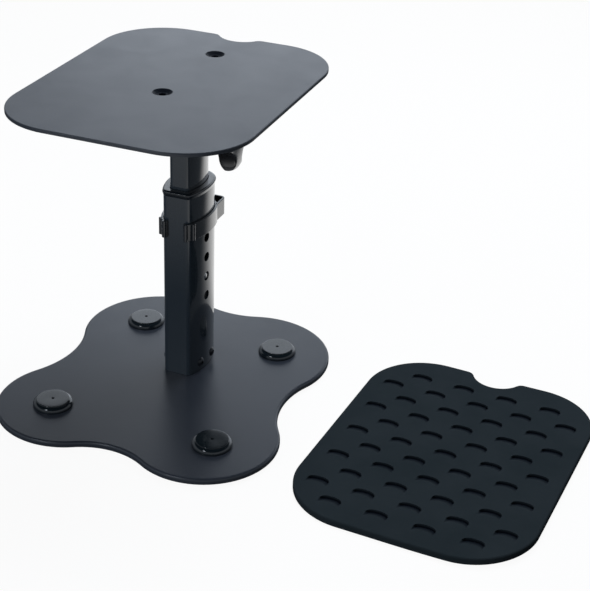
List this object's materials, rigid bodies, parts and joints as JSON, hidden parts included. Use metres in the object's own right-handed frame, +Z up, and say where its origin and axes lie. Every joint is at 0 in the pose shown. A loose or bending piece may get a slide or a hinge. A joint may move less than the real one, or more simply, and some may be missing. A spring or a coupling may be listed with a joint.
{
  "type": "desktop monitor stand",
  "caption": "Height-adjustable desktop stand for a studio monitor: lobed steel base, telescopic column with snap button, tilting top plate, cable clip and loose anti-slip pad.",
  "frame": {"origin": "on the table, under the widest line of the column", "axes": "+Z up, the front of the stand faces -Y, +X to the right, towards the loose pad"},
  "size_m": [0.5195, 0.2962, 0.3],
  "materials": {
    "satin_coat": "satin charcoal powder coat on steel plate",
    "gloss_paint": "gloss black paint on steel tube",
    "foot_rubber": "matte black rubber",
    "pad_rubber": "satin dark grey foamed rubber",
    "cap_plastic": "polished black moulding",
    "clip_plastic": "black moulding with a slight grain",
    "inner_plastic": "matte black engineering plastic",
    "knob_plastic": "fine-grained black moulding",
    "black_steel": "blackened steel",
    "button_steel": "bright plated steel",
    "insert_brass": "turned brass"
  },
  "bodies": {
    "base": {"base_plate": "satin_coat", "rubber_foot_front_left": "foot_rubber", "rubber_foot_front_right": "foot_rubber", "rubber_foot_rear_left": "foot_rubber", "rubber_foot_rear_right": "foot_rubber", "foot_cap_front_left": "cap_plastic", "foot_cap_front_right": "cap_plastic", "foot_cap_rear_left": "cap_plastic", "foot_cap_rear_right": "cap_plastic", "socket_screws": "black_steel", "column_screws": "black_steel", "column_socket": "inner_plastic", "outer_tube": "gloss_paint", "tube_bushing": "clip_plastic"},
    "mast": {"inner_tube": "gloss_paint", "tube_glide": "inner_plastic", "head_plug": "inner_plastic", "button_spring": "button_steel", "saddle_washers": "inner_plastic"},
    "button": {"snap_button": "button_steel"},
    "head": {"plate_bracket": "satin_coat", "weld_nuts": "satin_coat", "plate_screws": "black_steel", "top_plate": "satin_coat", "pivot_bolt": "black_steel"},
    "knob": {"clamp_knob": "knob_plastic", "knob_insert": "insert_brass"},
    "clip": {"cable_clip": "clip_plastic"},
    "pad": {"rubber_pad": "pad_rubber"}
  },
  "joints": [
    {"name": "height_slide", "type": "slide", "parent": "base", "child": "mast", "axis": [0, 0, 1], "range_m": [-0.02, 0.04]},
    {"name": "button_press", "type": "slide", "parent": "mast", "child": "button", "axis": [1, 0, 0], "range_m": [0, 0.0036], "stiffness_N_per_m": 1000, "springref_m": 0.006},
    {"name": "plate_tilt", "type": "hinge", "parent": "mast", "child": "head", "pos_m": [0, 0, 0.238], "axis": [1, 0, 0], "range_deg": [-10, 10]},
    {"name": "knob_turn", "type": "hinge", "parent": "head", "child": "knob", "pos_m": [0.0391, 0, 0.238], "axis": [1, 0, 0], "range_deg": [0, 180]},
    {"name": "clip_slide", "type": "slide", "parent": "base", "child": "clip", "axis": [0, 0, 1], "range_m": [-0.11, 0.022]},
    {"name": "pad_lift", "type": "slide", "parent": "base", "child": "pad", "axis": [0, 0, 1], "range_m": [0, 0.3]}
  ]
}
